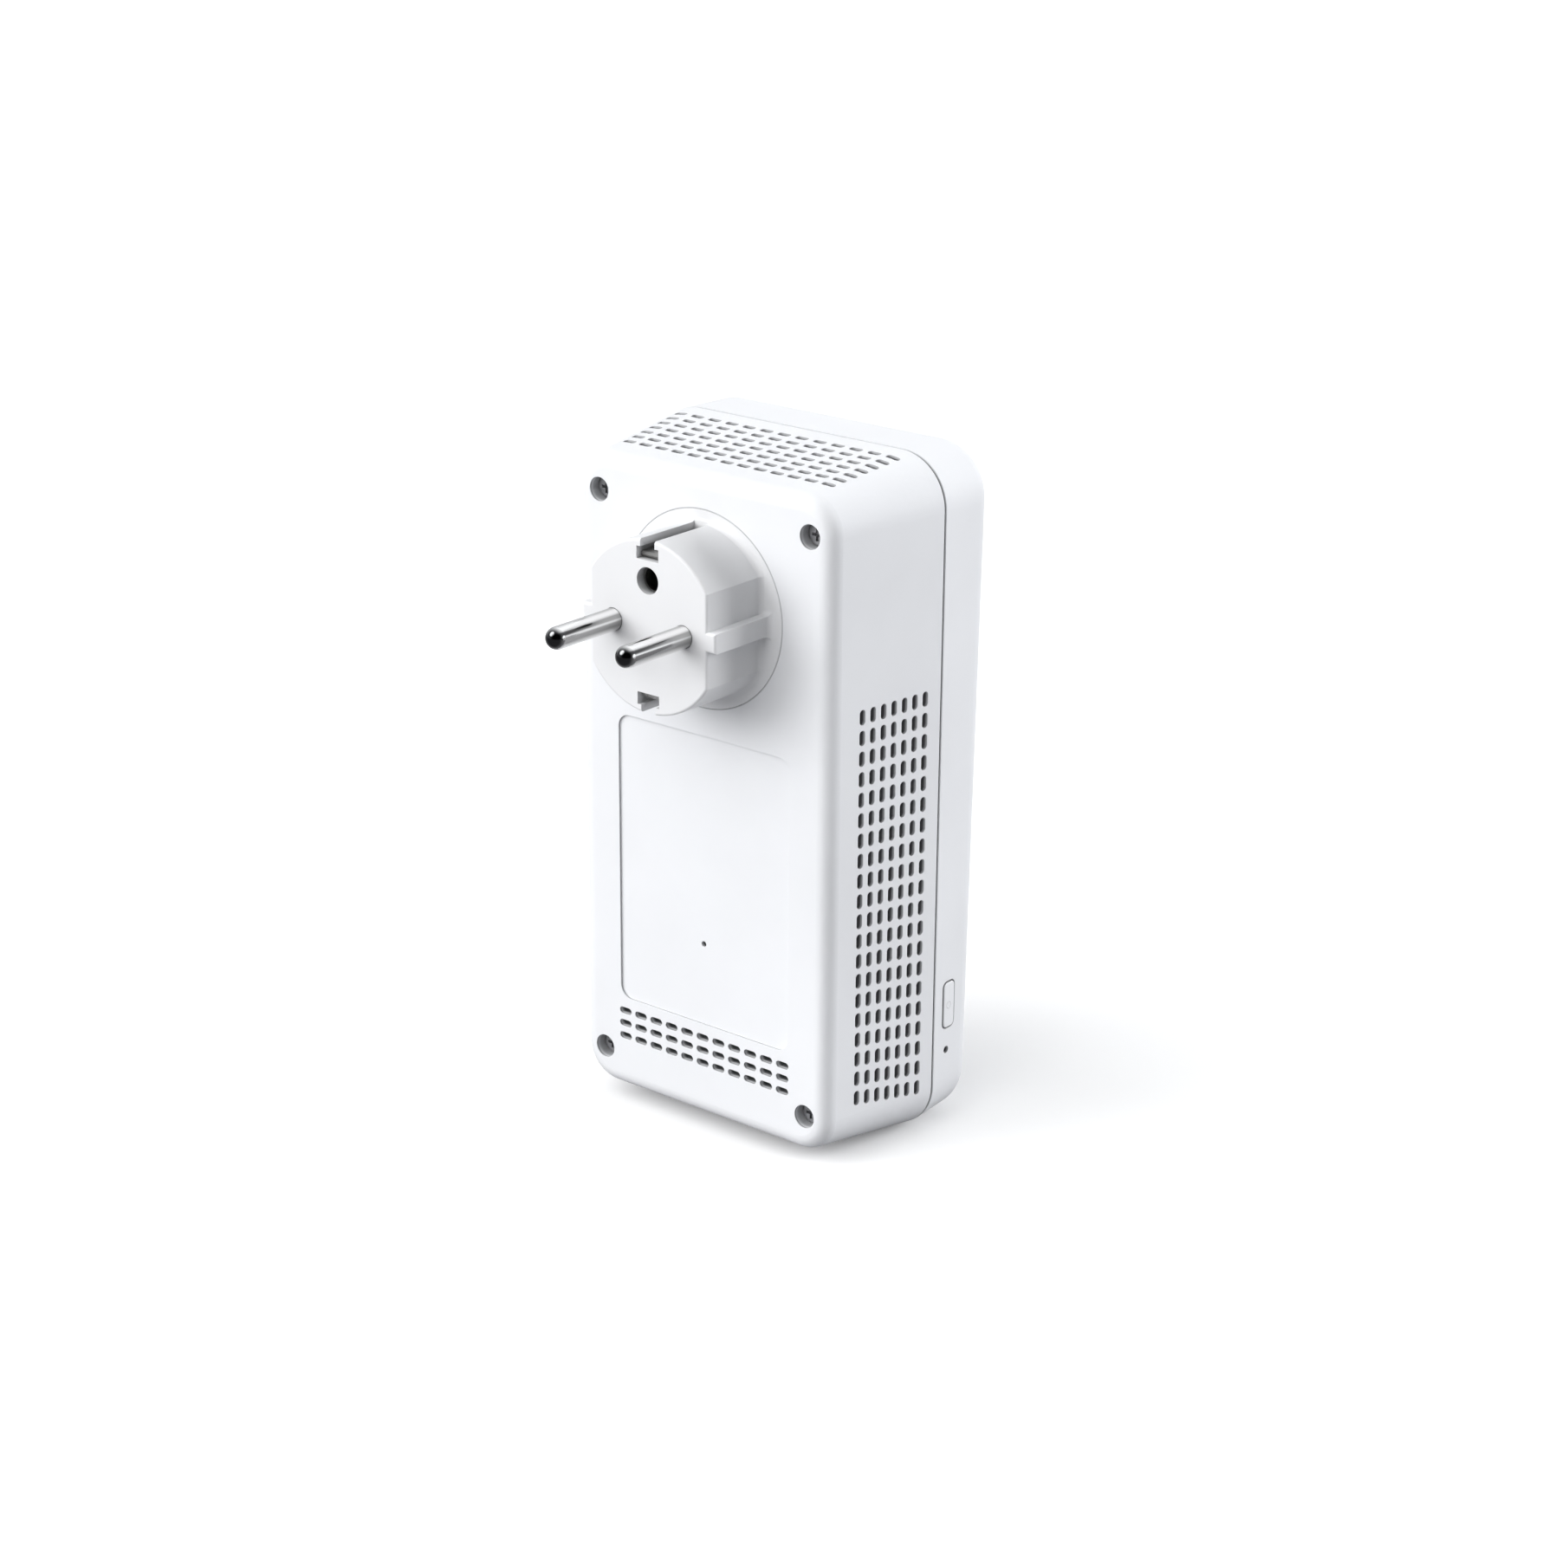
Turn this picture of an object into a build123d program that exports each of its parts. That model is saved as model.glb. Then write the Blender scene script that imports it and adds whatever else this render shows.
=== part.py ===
from build123d import *
import math
import os

# Powerline adapter with an earthed round plug, standing upright on a wall.
# Frame: +Z up, +Y along the pins towards the wall (the rear), origin midway between
# the two pins on the plug's end face. Millimetres.
# Cutters run past the faces they open, so their free ends are round numbers.

# ------------------------------------------------------------ shared dimensions
SIDES = (-1, 1)
PLUG_DEPTH = 17.15          # plug's end face to the casing's rear face
Y_REAR = -PLUG_DEPTH        # rear face of the casing
Y_SEAM_A = -48.5            # end of the rear shell
Y_SEAM_B = -49.1            # start of the front cover
Y_FRONT = -64.3             # front face at FRONT_MID_Z
FRONT_MID_Z = -44
FRONT_TILT = 1.17           # degrees the front face leans
WALL = 2.2
REAR_WALL = 2.4
REAR_FILLET = 3.6
FRONT_FILLET = 4.5

# Casing outline: size at the rear face, growth per mm up to the seam, and past it
HALF_WIDTH = (34.35, 0.1517, -0.012)
TOP_Z = (29.0, 0.123, -0.018)
BOTTOM_Z = (-116.2, -0.136, 0.05)
CORNER_R = (8.0, 0.11, 0.03)

# Boards: rear side, then front side
BOARD_T = 1.6
POWER_REAR = -27.0
POWER_FRONT = POWER_REAR - BOARD_T
MAIN_REAR = -48.0
MAIN_FRONT = MAIN_REAR - BOARD_T

# Fixing places as (x, z)
CASE_SCREWS = [(x, z) for x in (-28.6, 28.6) for z in (20.86, -108.0)]
POWER_POSTS = [(-21.0, 22.0), (21.0, 22.0), (-21.0, -91.5), (21.0, -91.5)]
MAIN_POSTS = [(-16.0, 23.0), (16.0, 23.0), (-12.0, -96.0), (12.0, -96.0)]
PLUG_POST_RING = 27.6
PLUG_POSTS = [
    (PLUG_POST_RING * math.sin(math.radians(a)), PLUG_POST_RING * math.cos(math.radians(a)))
    for a in (100, 180, 260)
]
SCREW_DEPTH = 2.3           # case screw heads below the rear face
SCREW_HEAD_H = 1.6

# Plug
PIN_X = 19.0 / 2            # half the pin spacing
PIN_PLACES = [(-PIN_X, 0), (PIN_X, 0)]
PIN_R = 2.4
PIN_NECK_R = 2.3            # held in the plug
PIN_TAIL_R = 1.2
EARTH_Z = 10.0              # earth-pin hole above the pins' line
EARTH_CUP_R = 3.2
RING_R = 21.5               # insert ring in the rear face
FLANGE_REAR, FLANGE_FRONT = -19.6, -21.6
FLANGE_R = 25.0
EAR_REAR, EAR_FRONT = -21.65, -23.2
BRIDGE_REAR, BRIDGE_FRONT = -23.8, -24.6
BRIDGE_PIN_PLACE = (0, -10.0)

# Network socket notch in the casing's bottom
NOTCH_HALF_W = 24.6
NOTCH_GAP = 0.3
NOTCH_Z = (-125, -112)

# Buttons and lights
SIDE_BTN = (-54.1, -91.1)   # y, z on the -X side
SIDE_BTN_L, SIDE_BTN_W, SIDE_BTN_R = 10.7, 3.9, 1.2
RESET = (-53.6, -101.8)     # y, z
BTN_GAP = 0.22
FRONT_BTN_R = 5.2
FRONT_BTNS = {"pair": (-11.0, -80.0), "wifi": (11.0, -80.0)}   # x, z
LENS_Z = 6.0
LENS_PLACES = [(x, LENS_Z) for x in (-12.0, -4.0, 4.0, 12.0)]


# ------------------------------------------------------------------- helpers
def drafted(y, measure):
    """A measure that grows up to the seam and then hardly changes."""
    at_rear, behind, ahead = measure
    to_seam = min(Y_REAR - y, Y_REAR - Y_SEAM_B)
    past_seam = max(Y_SEAM_B - y, 0.0)
    return at_rear + behind * to_seam + ahead * past_seam


def hull(y_a, y_b, inset=0.0):
    """Drafted block between two depths, inset from the casing's outside."""
    sections = []
    for y in (y_a, y_b):
        width = 2 * (drafted(y, HALF_WIDTH) - inset)
        top = drafted(y, TOP_Z) - inset
        bottom = drafted(y, BOTTOM_Z) + inset
        plane = Plane(origin=(0, y, (top + bottom) / 2), x_dir=(1, 0, 0), z_dir=(0, -1, 0))
        radius = drafted(y, CORNER_R) - inset
        sections.append(plane * RectangleRounded(width, top - bottom, radius))
    return loft(sections, ruled=True)


def block(x0, x1, y0, y1, z0, z1):
    return Pos((x0 + x1) / 2, (y0 + y1) / 2, (z0 + z1) / 2) * Box(
        abs(x1 - x0), abs(y1 - y0), abs(z1 - z0)
    )


def mounted(front, x0, x1, height, z0, z1):
    """Block standing on a board's front side."""
    return block(x0, x1, front, front - height, z0, z1)


def rod_y(radius, x, z, y0, y1):
    return Pos(x, (y0 + y1) / 2, z) * Rot(90, 0, 0) * Cylinder(radius, abs(y1 - y0))


def rods_y(radius, places, y0, y1):
    return [rod_y(radius, x, z, y0, y1) for x, z in places]


def rod_x(radius, y, z, x0, x1):
    return Pos((x0 + x1) / 2, y, z) * Rot(0, 90, 0) * Cylinder(radius, abs(x1 - x0))


def profile_yz(points, half_width):
    """Closed outline of (y, z) points, extruded equally to both sides of X=0."""
    plane = Plane(origin=(half_width, 0, 0), x_dir=(0, 1, 0), z_dir=(1, 0, 0))
    return extrude(plane * make_face(Polyline(points, close=True)), -2 * half_width)


def front_cut(offset=0.0):
    """Thick slab ahead of the leaning front face, moved towards the rear by offset."""
    depth = 40
    return (
        Pos(0, Y_FRONT + offset, FRONT_MID_Z)
        * Rot(FRONT_TILT, 0, 0)
        * Pos(0, -depth / 2, 0)
        * Box(220, depth, 320)
    )


def front_y(z):
    return Y_FRONT - math.tan(math.radians(FRONT_TILT)) * (z - FRONT_MID_Z)


def side_button_prism(x, length, grow=0.0):
    """The side button's outline, grown all round, extruded along +X."""
    plane = Plane(origin=(x, *SIDE_BTN), x_dir=(0, 0, 1), z_dir=(1, 0, 0))
    outline = RectangleRounded(
        SIDE_BTN_L + 2 * grow, SIDE_BTN_W + 2 * grow, SIDE_BTN_R + grow
    )
    return extrude(plane * outline, length)


def fillet_or_keep(shape, edges, radius):
    """Fillet the edges; guards against a kernel failure by leaving them sharp."""
    try:
        return fillet(edges, radius)
    except Exception:
        return shape


def write_piece(name, *shapes):
    solids = [solid for shape in shapes for solid in shape.solids()]
    for solid in solids:
        solid.label = name
    piece = solids[0] if len(solids) == 1 else Compound(label=name, children=solids)
    export_step(piece, "parts/" + name + ".step")


os.makedirs("parts", exist_ok=True)

# --------------------------------------------------------------------- vents
VENT_L, VENT_W = 3.35, 1.6
REAR_VENT_L, REAR_VENT_W = 3.4, 1.55
VENT_PITCH_X = 4.486        # top and rear

SIDE_COLS, SIDE_ROWS = 7, 20
SIDE_Y, SIDE_PITCH_Y = -26.216, 2.982
SIDE_Z, SIDE_PITCH_Z = -18.387, 4.545
SIDE_FAN_Z, SIDE_FAN = -19.66, 0.006    # rows spread from this level, per column

TOP_COLS, TOP_ROWS = 13, 7
TOP_Y, TOP_PITCH_Y = -25.181, 3.135
TOP_FAN = 0.012             # columns spread from X=0, per row

REAR_COLS, REAR_ROWS = 11, 3
REAR_Z, REAR_PITCH_Z = -97.724, 3.022


def vent_cutter(x_dir, z_dir, length, width, depth):
    """Rounded slot cutter centred on the origin, slot along x_dir, cutting along z_dir."""
    plane = Plane(origin=Vector(*z_dir) * (-depth / 2), x_dir=x_dir, z_dir=z_dir)
    return extrude(plane * SlotOverall(length, width), depth)


def vent_cutters():
    side = vent_cutter((0, 0, 1), (1, 0, 0), VENT_L, VENT_W, 7.0)
    top = vent_cutter((1, 0, 0), (0, 0, 1), VENT_L, VENT_W, 9.0)
    rear = vent_cutter((1, 0, 0), (0, -1, 0), REAR_VENT_L, REAR_VENT_W, 5.0)
    vents = []
    for i in range(SIDE_COLS):
        y = SIDE_Y - SIDE_PITCH_Y * i
        for j in range(SIDE_ROWS):
            from_fan = SIDE_Z - SIDE_PITCH_Z * j - SIDE_FAN_Z
            z = SIDE_FAN_Z + from_fan * (1 + SIDE_FAN * i)
            vents += [Pos(s * drafted(y, HALF_WIDTH), y, z) * side for s in SIDES]
    for i in range(TOP_ROWS):
        y = TOP_Y - TOP_PITCH_Y * i
        for j in range(TOP_COLS):
            x = (j - (TOP_COLS - 1) / 2) * VENT_PITCH_X * (1 + TOP_FAN * i)
            vents.append(Pos(x, y, drafted(y, TOP_Z) - 1.5) * top)
    for i in range(REAR_COLS):
        x = (i - (REAR_COLS - 1) / 2) * VENT_PITCH_X
        for j in range(REAR_ROWS):
            vents.append(Pos(x, Y_REAR - 1.0, REAR_Z - REAR_PITCH_Z * j) * rear)
    return vents


# -------------------------------------------------------------------- casing
POST_ROOT = Y_REAR - 1.6    # posts start inside the rear wall
LABEL_Z, LABEL_W, LABEL_H, LABEL_R = -61.25, 47.5, 66.5, 3.0
LABEL_DEPTH = 0.5
LABEL_HOLE_R, LABEL_HOLE_Z = 0.65, -75.8
LIP = 1.25                  # thickness of the cover's lip
LIP_GAP = 0.15


def rear_shell():
    shell = hull(Y_REAR, Y_SEAM_A)
    shell = fillet(shell.faces().sort_by(Axis.Y)[-1].edges(), REAR_FILLET)
    hollow = hull(Y_REAR - REAR_WALL, Y_SEAM_A - 0.5, WALL)
    hollow = fillet(hollow.faces().sort_by(Axis.Y)[-1].edges(), REAR_FILLET - WALL)
    shell = shell - hollow
    shell = shell + (
        rods_y(4.3, CASE_SCREWS, POST_ROOT, -23.1)
        + rods_y(2.7, POWER_POSTS, POST_ROOT, POWER_REAR)
        + rods_y(2.6, PLUG_POSTS, POST_ROOT, FLANGE_FRONT)
    )

    cuts = [rod_y(RING_R + 0.06, 0, 0, Y_REAR + 1, -21.0)]
    # label recess with a small blind hole
    plane = Plane(origin=(0, Y_REAR - LABEL_DEPTH, LABEL_Z), x_dir=(1, 0, 0), z_dir=(0, -1, 0))
    cuts.append(extrude(plane * RectangleRounded(LABEL_W, LABEL_H, LABEL_R), -2.0))
    cuts.append(rod_y(LABEL_HOLE_R, 0, LABEL_HOLE_Z, Y_REAR + 1, Y_REAR - 1.7))
    # counterbores and screw holes
    cuts += rods_y(2.65, CASE_SCREWS, Y_REAR + 1, Y_REAR - SCREW_DEPTH - SCREW_HEAD_H)
    cuts += rods_y(1.5, CASE_SCREWS, Y_REAR, -24.0)
    cuts += rods_y(1.27, POWER_POSTS, -21.0, POWER_REAR - 1)
    cuts += rods_y(1.02, PLUG_POSTS, -19.0, -22.6)
    # clearance round the insert's inner flange
    cuts.append(rod_y(FLANGE_R + 0.3, 0, 0, Y_REAR - REAR_WALL, -24.0))
    # notch for the network sockets, open to the seam
    cuts.append(block(-NOTCH_HALF_W, NOTCH_HALF_W, -34.4, Y_SEAM_A - 1, *NOTCH_Z))
    shell = shell - cuts
    return shell - vent_cutters()


def front_cover():
    cover = hull(Y_SEAM_B, -70.0) - front_cut()
    cover = fillet(cover.faces().sort_by(Axis.Y)[0].edges(), FRONT_FILLET)
    inner = hull(-51.5, -70.0, WALL) - front_cut(WALL)
    inner = fillet(inner.faces().sort_by(Axis.Y)[0].edges(), FRONT_FILLET - WALL)
    lip_outside = WALL + LIP_GAP
    lip_inside = WALL + LIP_GAP + LIP
    cover = cover - inner - hull(-46.0, -52.0, lip_inside)

    # lip inside the rear shell, open at the notch, and a strip across the notch
    lip = hull(-46.6, -49.6, lip_outside) - hull(-46.0, -50.5, lip_inside)
    lip_cut = NOTCH_HALF_W + NOTCH_GAP
    lip = lip - block(-lip_cut, lip_cut, -45, Y_SEAM_B, *NOTCH_Z)
    cover = cover + lip
    strip = NOTCH_HALF_W - NOTCH_GAP
    posts = [block(-strip, strip, -48.15, -50.0, -119.9, -117.4)]
    posts += [rod_y(3.2, x, z, -23.2, front_y(z) + 1.0) for x, z in CASE_SCREWS]
    posts += [rod_y(2.5, x, z, MAIN_FRONT, front_y(z) + 1.0) for x, z in MAIN_POSTS]
    cover = cover + posts

    cuts = rods_y(1.32, CASE_SCREWS, -23.0, -33.0)
    cuts += rods_y(1.02, MAIN_POSTS, MAIN_FRONT + 1, MAIN_FRONT - 5.5)
    # side button opening and reset pinhole
    cuts.append(side_button_prism(-44, 8.0, BTN_GAP))
    cuts.append(rod_x(0.75, *RESET, -44, -36))
    # front buttons and light windows
    openings = [(FRONT_BTN_R + BTN_GAP, *place) for place in FRONT_BTNS.values()]
    openings += [(1.22, *place) for place in LENS_PLACES]
    cuts += [rod_y(r, x, z, front_y(z) - 2, front_y(z) + 4) for r, x, z in openings]
    return cover - cuts


write_piece("rear_shell", rear_shell())
write_piece("front_cover", front_cover())

# --------------------------------------------------------------- plug insert
PIN_LEN = 19.5              # from the plug's end face to the tip
PLUG_R = 18.75
PLUG_FLAT = 15.8            # half distance between the two flats
PLUG_RIB = 18.1             # guide ribs on the flats reach this far out
RIB_H = 2.15                # half height of a rib
SLOT_IN, SLOT_MID, SLOT_OUT = 14.3, 17.0, 19.6      # distances from X axis
SLOT_WIDE, SLOT_NARROW = 2.95, 1.92                 # half widths
SLOT_END = -16.9
ARM_REAR = -21.0
ARM_RADIUS = 24.6           # arm centre from the plug's axis

# Earth clip outline as (y, z), the upper one; the lower is its mirror image
CLIP_OUTLINE = [
    (-1.5, 15.7), (-2.2, 15.9), (-3.2, 15.75), (-6.0, 16.1), (-9.5, 16.45),
    (-13.0, 15.7), (-15.5, 15.05), (-23.8, 15.05), (-23.8, 14.35),
    (-15.3, 14.35), (-9.5, 15.75), (-6.0, 15.4), (-3.6, 15.0), (-2.3, 14.4),
    (-1.5, 14.6), (-1.15, 15.1),
]


def is_plug_root(edge):
    """Edge where the plug's outline meets the ring's rear face."""
    center, box = edge.center(), edge.bounding_box()
    return (
        abs(center.Y - Y_REAR) < 0.01
        and abs(box.min.Y - Y_REAR) < 0.01
        and math.hypot(center.X, center.Z) < 20.0
        and box.max.X - box.min.X < 40
        and edge.length < 100
    )


def plug_arm(x, z):
    """Arm from the flange to an ear, stepping over the shell's post."""
    ux, uz = x / PLUG_POST_RING, z / PLUG_POST_RING
    arm = (
        Pos(ux * ARM_RADIUS, (ARM_REAR + EAR_FRONT) / 2, uz * ARM_RADIUS)
        * Rot(0, math.degrees(math.atan2(ux, uz)), 0)
        * Box(6.4, ARM_REAR - EAR_FRONT, 6.0)
    )
    beyond_flange = rod_y(40, 0, 0, -20.0, EAR_REAR) - rod_y(
        FLANGE_R - 0.1, 0, 0, -20.0, EAR_REAR
    )
    return arm - rod_y(2.75, x, z, -20.0, EAR_REAR) - beyond_flange


def plug_hollows():
    """Hollows behind the end face, leaving the pin, slot and earth bosses and two webs."""
    start, end = -3, -21
    core = rod_y(15.6, 0, 0, -4.0, -19.8) & block(-13.2, 13.2, -4.0, -19.8, -16, 16)
    core = core - (
        rods_y(4.6, PIN_PLACES, start, end)
        + [
            rod_y(4.9, 0, EARTH_Z, start, end),
            block(-5.2, 5.2, start, end, 12.4, 20),
            block(-5.2, 5.2, start, end, -20, -12.4),
            block(-1.0, 1.0, start, end, -20, 20),
            block(-20, 20, start, end, -0.8, 0.8),
        ]
    )
    return list(core.solids())


def plug_body():
    outline = Circle(PLUG_R) & Rectangle(2 * PLUG_FLAT, 60)
    outline = outline + Rectangle(2 * PLUG_RIB, 2 * RIB_H)
    plane = Plane(origin=(0, 0, 0), x_dir=(1, 0, 0), z_dir=(0, -1, 0))
    plug = extrude(plane * outline, PLUG_DEPTH + 0.5)
    plug = fillet_or_keep(plug, plug.faces().sort_by(Axis.Y)[-1].edges(), 0.6)
    plug = plug + rod_y(RING_R, 0, 0, Y_REAR, FLANGE_REAR)
    plug = fillet_or_keep(plug, [e for e in plug.edges() if is_plug_root(e)], 1.1)
    plug = plug + rod_y(FLANGE_R, 0, 0, FLANGE_REAR, FLANGE_FRONT)
    for x, z in PLUG_POSTS:
        plug = plug + plug_arm(x, z) + rod_y(3.2, x, z, EAR_REAR, EAR_FRONT)

    cuts = plug_hollows()
    for s in SIDES:
        x = s * PIN_X
        cuts += [
            rod_y(PIN_NECK_R + 0.02, x, 0, 1, -22),
            rod_y(PIN_R + 0.06, x, 0, 1, -0.3),
            rod_y(3.52, x, 0, -20.2, -22),
            # stepped earth slot, then the narrow passage for the clip's tail
            block(-SLOT_WIDE, SLOT_WIDE, 1, SLOT_END, s * SLOT_IN, s * SLOT_MID),
            block(-SLOT_NARROW, SLOT_NARROW, 1, SLOT_END, s * (SLOT_MID - 0.1), s * SLOT_OUT),
            block(-2.75, 2.75, -16, -22, s * SLOT_IN, s * 15.12),
        ]
    # earth-pin hole: mouth, seat of the socket, passage for its tail
    cuts.append(rod_y(2.9, 0, EARTH_Z, 1, -2.2))
    cuts.append(rod_y(EARTH_CUP_R + 0.02, 0, EARTH_Z, -2.2, -17.6))
    cuts.append(rod_y(PIN_TAIL_R + 0.02, 0, EARTH_Z, -17, -22))
    cuts += rods_y(1.15, PLUG_POSTS, -20, -24)
    return plug - cuts


def plug_pin(x):
    """Round-tipped pin with a neck, a collar and a tail through the power board."""
    return (
        rod_y(PIN_R, x, 0, PIN_LEN - PIN_R, 0)
        + rod_y(PIN_NECK_R, x, 0, 0.5, -20.3)
        + Pos(x, PIN_LEN - PIN_R, 0) * Sphere(PIN_R)
        + rod_y(3.5, x, 0, -20.25, FLANGE_FRONT)
        + rod_y(PIN_TAIL_R, x, 0, -21.5, POWER_FRONT - 0.6)
    )


def earth_clip(s):
    return profile_yz([(y, s * z) for y, z in CLIP_OUTLINE], 2.65)


def earth_socket():
    cup = rod_y(EARTH_CUP_R, 0, EARTH_Z, -2.25, -17.55) - rod_y(2.6, 0, EARTH_Z, 0, -16.8)
    return cup + rod_y(PIN_TAIL_R, 0, EARTH_Z, -17.4, BRIDGE_REAR)


def plug_back_plate():
    return rod_y(18.6, 0, 0, EAR_REAR, -23.6) - (
        rods_y(1.3, PIN_PLACES + [(0, EARTH_Z)], -21, -24)
        + [block(-2.8, 2.8, -21, -24, s * 14.25, s * 15.15) for s in (1, -1)]
    )


def earth_bridge():
    strip = block(-2.6, 2.6, BRIDGE_REAR, BRIDGE_FRONT, -15.2, 15.2)
    return strip + rod_y(0.8, *BRIDGE_PIN_PLACE, -24.5, POWER_FRONT - 0.6)


write_piece("plug_body", plug_body())
write_piece("line_pin", plug_pin(-PIN_X))
write_piece("neutral_pin", plug_pin(PIN_X))
write_piece("earth_clip_top", earth_clip(1))
write_piece("earth_clip_bottom", earth_clip(-1))
write_piece("earth_socket", earth_socket())
write_piece("plug_back_plate", plug_back_plate())
write_piece("earth_bridge", earth_bridge())


# ------------------------------------------------------------------ fasteners
def screws(places, y_top, toward, head_r, head_h, shaft_r, length, arm):
    """Cross-head screws, head top at y_top, shafts along toward*Y; arm is the cross's reach."""
    made = []
    for x, z in places:
        head = rod_y(head_r, x, z, y_top, y_top + toward * head_h)
        rims = head.edges().filter_by(GeomType.CIRCLE).sort_by(Axis.Y)
        head = fillet(rims[-1] if toward < 0 else rims[0], head_h * 0.45)
        shaft_start = y_top + toward * (head_h - 0.1)
        body = head + rod_y(shaft_r, x, z, shaft_start, y_top + toward * (head_h + length))
        half = arm * 0.24
        y0, y1 = y_top - toward, y_top + toward * head_h * 0.65
        cross = [
            block(x - arm, x + arm, y0, y1, z - half, z + half),
            block(x - half, x + half, y0, y1, z - arm, z + arm),
        ]
        made.append(body - cross)
    return made


write_piece("rear_screws", *screws(
    CASE_SCREWS, Y_REAR - SCREW_DEPTH, toward=-1,
    head_r=2.45, head_h=SCREW_HEAD_H, shaft_r=1.3, length=10.5, arm=1.35,
))
write_piece("plug_screws", *screws(
    PLUG_POSTS, EAR_FRONT - 1.4, toward=1,
    head_r=2.1, head_h=1.4, shaft_r=1.0, length=3.0, arm=1.1,
))
power_screws = screws(
    POWER_POSTS, POWER_FRONT - 1.4, toward=1,
    head_r=2.2, head_h=1.4, shaft_r=1.25, length=5.5, arm=1.1,
)
main_screws = screws(
    MAIN_POSTS, MAIN_REAR + 1.2, toward=-1,
    head_r=2.0, head_h=1.2, shaft_r=1.0, length=6.0, arm=1.0,
)
write_piece("board_screws", *power_screws, *main_screws)

# ---------------------------------------------------- box-shaped board parts
# name, board side, x from, x to, height, z from, z to, edge radius (0 is sharp)
BOX_PARTS = [
    ("x_capacitor", POWER_FRONT, -6.5, 6.5, 11.5, -20.5, -14.5, 0.4),
    ("bridge_rectifier", POWER_FRONT, 14.0, 21.0, 3.0, -22.0, -14.0, 0),
    ("optocoupler", POWER_FRONT, 12.5, 17.0, 3.6, -65.0, -58.5, 0),
    ("coupling_transformer", POWER_FRONT, -20.0, -8.0, 9.0, -84.0, -74.0, 0.5),
    ("processor_chip", MAIN_FRONT, -7, 7, 1.2, -41, -27, 0),
    ("thermal_pad", MAIN_FRONT - 1.2, -6.5, 6.5, 0.8, -40.5, -27.5, 0),
    ("powerline_chip", MAIN_FRONT, -17, -7, 1.0, -67, -57, 0),
    ("memory_chip", MAIN_FRONT, 10, 20, 1.0, -66, -58, 0),
    ("wifi_chip", MAIN_FRONT, 15, 23, 0.9, -8, 0, 0),
]
for name, *placing, radius in BOX_PARTS:
    part = mounted(*placing)
    write_piece(name, fillet(part.edges(), radius) if radius else part)

# ---------------------------------------------------------------- power board
FUSE_Y, FUSE_Z = POWER_FRONT - 2.35, 6.5
CHOKE_Z = -29.0
CHOKE_REAR, CHOKE_FRONT = POWER_FRONT - 4.0, POWER_FRONT - 8.0
TRANS_Z = -62.0
TRANS_REAR, TRANS_FRONT = POWER_FRONT - 4.2, POWER_FRONT - 9.8
CONNECTOR_PINS, CONNECTOR_PITCH, CONNECTOR_X = 8, 2.54, -8.89


def power_board():
    y0, y1 = POWER_REAR + 1, POWER_FRONT - 1
    board = block(-24.6, 24.6, POWER_REAR, POWER_FRONT, -96.0, 25.6)
    board = board - rods_y(1.4, POWER_POSTS, y0, y1)
    return board - (rods_y(1.25, PIN_PLACES, y0, y1) + rods_y(0.85, [BRIDGE_PIN_PLACE], y0, y1))


def mains_fuse():
    """Tube with a cap at each end."""
    return (
        rod_x(2.0, FUSE_Y, FUSE_Z, -17.5, -7.5)
        + rod_x(2.3, FUSE_Y, FUSE_Z, -18.5, -16.5)
        + rod_x(2.3, FUSE_Y, FUSE_Z, -8.5, -6.5)
    )


def choke_core():
    outer = block(-9.0, 9.0, CHOKE_REAR, CHOKE_FRONT, CHOKE_Z - 6.5, CHOKE_Z + 6.5)
    return outer - block(
        -5.0, 5.0, CHOKE_REAR + 1, CHOKE_FRONT - 1, CHOKE_Z - 3.0, CHOKE_Z + 3.0
    )


def choke_winding(x):
    coil = mounted(POWER_FRONT, x - 3.9, x + 3.9, 11.0, CHOKE_Z - 2.9, CHOKE_Z + 2.9)
    return coil - block(
        x - 2.05, x + 2.05, CHOKE_REAR + 0.05, CHOKE_FRONT - 0.05, CHOKE_Z - 4, CHOKE_Z + 4
    )


def transformer_core():
    core = block(-10, 10, TRANS_REAR, TRANS_FRONT, TRANS_Z - 10, TRANS_Z + 10)
    for s in SIDES:
        core = core - block(
            s * 3.1, s * 7.2, POWER_FRONT - 3, POWER_FRONT - 11, TRANS_Z - 7, TRANS_Z + 7
        )
    return core


def transformer_bobbin():
    bobbin = mounted(POWER_FRONT, -7.1, 7.1, 13.0, TRANS_Z - 6.9, TRANS_Z + 6.9)
    return bobbin - block(
        -3.12, 3.12, TRANS_REAR + 0.02, TRANS_FRONT - 0.02, TRANS_Z - 8, TRANS_Z + 8
    )


def board_connector():
    """A housing on each board, joined by a row of pins."""
    pin_xs = [CONNECTOR_X + CONNECTOR_PITCH * k for k in range(CONNECTOR_PINS)]
    return (
        mounted(POWER_FRONT, -10.2, 10.2, 6.0, -90.5, -87.5)
        + block(-10.2, 10.2, MAIN_REAR, MAIN_REAR + 6.0, -90.5, -87.5)
        + [
            block(x - 0.32, x + 0.32, POWER_FRONT - 5.5, MAIN_REAR + 5.5, -89.32, -88.68)
            for x in pin_xs
        ]
    )


def insulation_sheet():
    """Sheet between the boards, open round the connector."""
    sheet = block(-24.0, 24.0, -46.2, -46.55, -95.0, 24.0)
    return sheet - block(-11, 11, -45, -47, -91.2, -86.8)


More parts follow.
